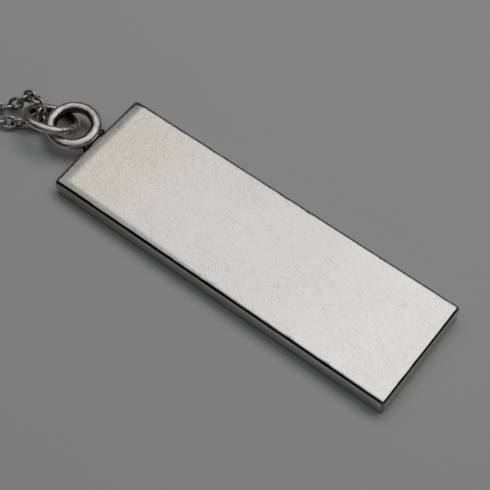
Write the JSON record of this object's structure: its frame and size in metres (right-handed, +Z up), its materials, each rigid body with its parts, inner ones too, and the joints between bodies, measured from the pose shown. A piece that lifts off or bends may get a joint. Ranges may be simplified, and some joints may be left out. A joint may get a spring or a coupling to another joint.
{
  "type": "ingot pendant on a neck chain",
  "caption": "Plain silver bar pendant with a soldered bail ring and a jump ring, hung on a fine chain with an open bolt-ring clasp.",
  "frame": {"origin": "on the surface that it lies on, under the middle of the bar and its two rings together", "axes": "+X along the bar away from its rings, +Y across the bar, +Z up, out of the bar's upper face"},
  "size_m": [0.0989, 0.0248, 0.0048],
  "materials": {
    "silver_bar": "polished silver with fine scratches",
    "silver_rings": "hand-polished silver wire, darkened in its recesses",
    "silver_chain": "tarnished silver",
    "silver_clasp": "polished",
    "solder": "dull, darkened",
    "spring_steel": "plain"
  },
  "bodies": {
    "chain": {"chain_link_0": "silver_chain", "chain_link_n1": "silver_chain", "chain_link_n2": "silver_chain", "chain_link_n3": "silver_chain", "chain_link_n4": "silver_chain", "chain_link_n5": "silver_chain", "chain_link_n6": "silver_chain", "chain_link_n7": "silver_chain", "chain_link_n8": "silver_chain", "chain_link_n9": "silver_chain", "chain_link_u1": "silver_chain", "chain_link_u2": "silver_chain", "chain_link_u3": "silver_chain", "chain_link_u4": "silver_chain", "chain_link_u5": "silver_chain", "chain_link_u6": "silver_chain", "chain_link_u7": "silver_chain", "chain_link_u8": "silver_chain", "chain_link_u9": "silver_chain", "chain_near_coil": "silver_chain", "chain_near_strand": "silver_chain", "chain_upper_coil": "silver_chain", "chain_upper_strand": "silver_chain", "clasp_end_link": "silver_chain", "catch_end_link": "silver_chain"},
    "jump_ring": {"jump_ring": "silver_rings"},
    "pendant": {"ingot_bar": "silver_bar", "bail_ring": "silver_rings", "bail_solder": "solder"},
    "clasp_tail": {"clasp_tail_ring": "silver_clasp"},
    "clasp": {"clasp_ring": "silver_clasp", "clasp_spring": "spring_steel"},
    "bolt": {"clasp_bolt": "silver_clasp"},
    "catch": {"catch_ring": "silver_clasp"}
  },
  "joints": [
    {"name": "jump_ring_swing", "type": "hinge", "parent": "chain", "child": "jump_ring", "pos_m": [-0.02958, -0.00114, 0.00209], "axis": [-0.028, -0.8387, 0.5438], "range_deg": [0, 90]},
    {"name": "pendant_swing", "type": "hinge", "parent": "jump_ring", "child": "pendant", "pos_m": [-0.02415, -0.00271, 0.00173], "axis": [0.6289, -0.7439, -0.226], "range_deg": [0, 90]},
    {"name": "clasp_tail_swing", "type": "hinge", "parent": "chain", "child": "clasp_tail", "pos_m": [-0.06066, 0.0012, 0.00077], "axis": [0, -0.53, 0.848], "range_deg": [0, 20]},
    {"name": "clasp_swing", "type": "hinge", "parent": "clasp_tail", "child": "clasp", "pos_m": [-0.05905, 0.0012, 0.00077], "axis": [0, -0.9511, -0.309], "range_deg": [0, 110]},
    {"name": "clasp_bolt_slide", "type": "hinge", "parent": "clasp", "child": "bolt", "pos_m": [-0.05542, 0.0012, 0.00072], "axis": [0, 0, -1], "range_deg": [0, 70], "stiffness_Nm_per_rad": 0.002, "springref_deg": -28.65, "deforming": ["clasp_spring"]},
    {"name": "catch_swing", "type": "hinge", "parent": "chain", "child": "catch", "pos_m": [-0.05346, -0.0039, 0.0008], "axis": [0, 0.4691, 0.8832], "range_deg": [0, 18]}
  ]
}
